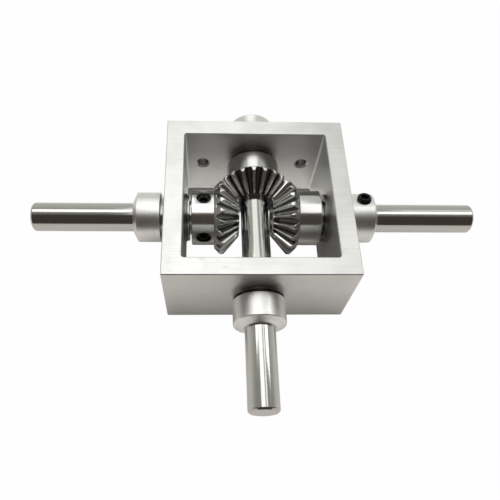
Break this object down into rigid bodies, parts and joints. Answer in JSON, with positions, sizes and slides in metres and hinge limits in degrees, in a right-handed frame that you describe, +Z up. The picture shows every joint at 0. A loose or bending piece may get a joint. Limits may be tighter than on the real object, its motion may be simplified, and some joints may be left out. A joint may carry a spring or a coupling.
{
  "type": "right angle bevel gearbox",
  "caption": "Open square-frame right angle gearbox: one through shaft drives two opposed side shafts through straight bevel gears.",
  "frame": {"origin": "midway between the two tapped holes, on the outer face of the back wall, which is where the box is bolted on", "axes": "+Y out of the back wall along the through shaft, +X along the side shafts to the right, +Z up out of the frame's open top"},
  "size_m": [0.125, 0.0907, 0.025],
  "materials": {
    "frame_aluminium": "milled satin",
    "shaft_steel": "ground and polished",
    "gear_steel": "machined",
    "collar_steel": "turned satin",
    "bearing_steel": "ground",
    "spacer_steel": "bright",
    "black_screw_steel": "black oxide"
  },
  "bodies": {
    "housing": {"housing_frame": "frame_aluminium", "left_outside_bearing_outer_ring": "bearing_steel", "left_inside_bearing_outer_ring": "bearing_steel", "right_outside_bearing_outer_ring": "bearing_steel", "right_inside_bearing_outer_ring": "bearing_steel", "front_outside_bearing_outer_ring": "bearing_steel", "front_inside_bearing_outer_ring": "bearing_steel", "back_outside_bearing_outer_ring": "bearing_steel", "back_inside_bearing_outer_ring": "bearing_steel"},
    "through_shaft": {"through_shaft": "shaft_steel", "back_bevel_gear": "gear_steel", "back_gear_set_screws": "black_screw_steel", "back_gear_spacer": "spacer_steel", "front_collar": "collar_steel", "front_collar_set_screw": "black_screw_steel", "front_collar_spacer": "spacer_steel", "front_outside_bearing_inner_ring": "bearing_steel", "front_inside_bearing_inner_ring": "bearing_steel", "back_collar": "collar_steel", "back_collar_set_screw": "black_screw_steel", "back_collar_spacer": "spacer_steel", "back_outside_bearing_inner_ring": "bearing_steel", "back_inside_bearing_inner_ring": "bearing_steel"},
    "left_shaft": {"left_shaft": "shaft_steel", "left_bevel_gear": "gear_steel", "left_gear_set_screws": "black_screw_steel", "left_gear_spacer": "spacer_steel", "left_gear_washer": "spacer_steel", "left_collar": "collar_steel", "left_collar_set_screw": "black_screw_steel", "left_collar_spacer": "spacer_steel", "left_outside_bearing_inner_ring": "bearing_steel", "left_inside_bearing_inner_ring": "bearing_steel"},
    "right_shaft": {"right_shaft": "shaft_steel", "right_bevel_gear": "gear_steel", "right_gear_set_screws": "black_screw_steel", "right_gear_spacer": "spacer_steel", "right_collar": "collar_steel", "right_collar_set_screw": "black_screw_steel", "right_collar_spacer": "spacer_steel", "right_outside_bearing_inner_ring": "bearing_steel", "right_inside_bearing_inner_ring": "bearing_steel"}
  },
  "joints": [
    {"name": "through_shaft_spin", "type": "hinge", "parent": "housing", "child": "through_shaft", "pos_m": [0, -0.025, 0], "axis": [0, 1, 0], "continuous": true},
    {"name": "left_shaft_spin", "type": "hinge", "parent": "housing", "child": "left_shaft", "pos_m": [0, -0.025, 0], "axis": [1, 0, 0], "continuous": true},
    {"name": "right_shaft_spin", "type": "hinge", "parent": "housing", "child": "right_shaft", "pos_m": [0, -0.025, 0], "axis": [1, 0, 0], "continuous": true}
  ],
  "couplings": [
    {"joint": "left_shaft_spin", "follows": "through_shaft_spin", "ratio": 1},
    {"joint": "right_shaft_spin", "follows": "through_shaft_spin", "ratio": -1}
  ]
}
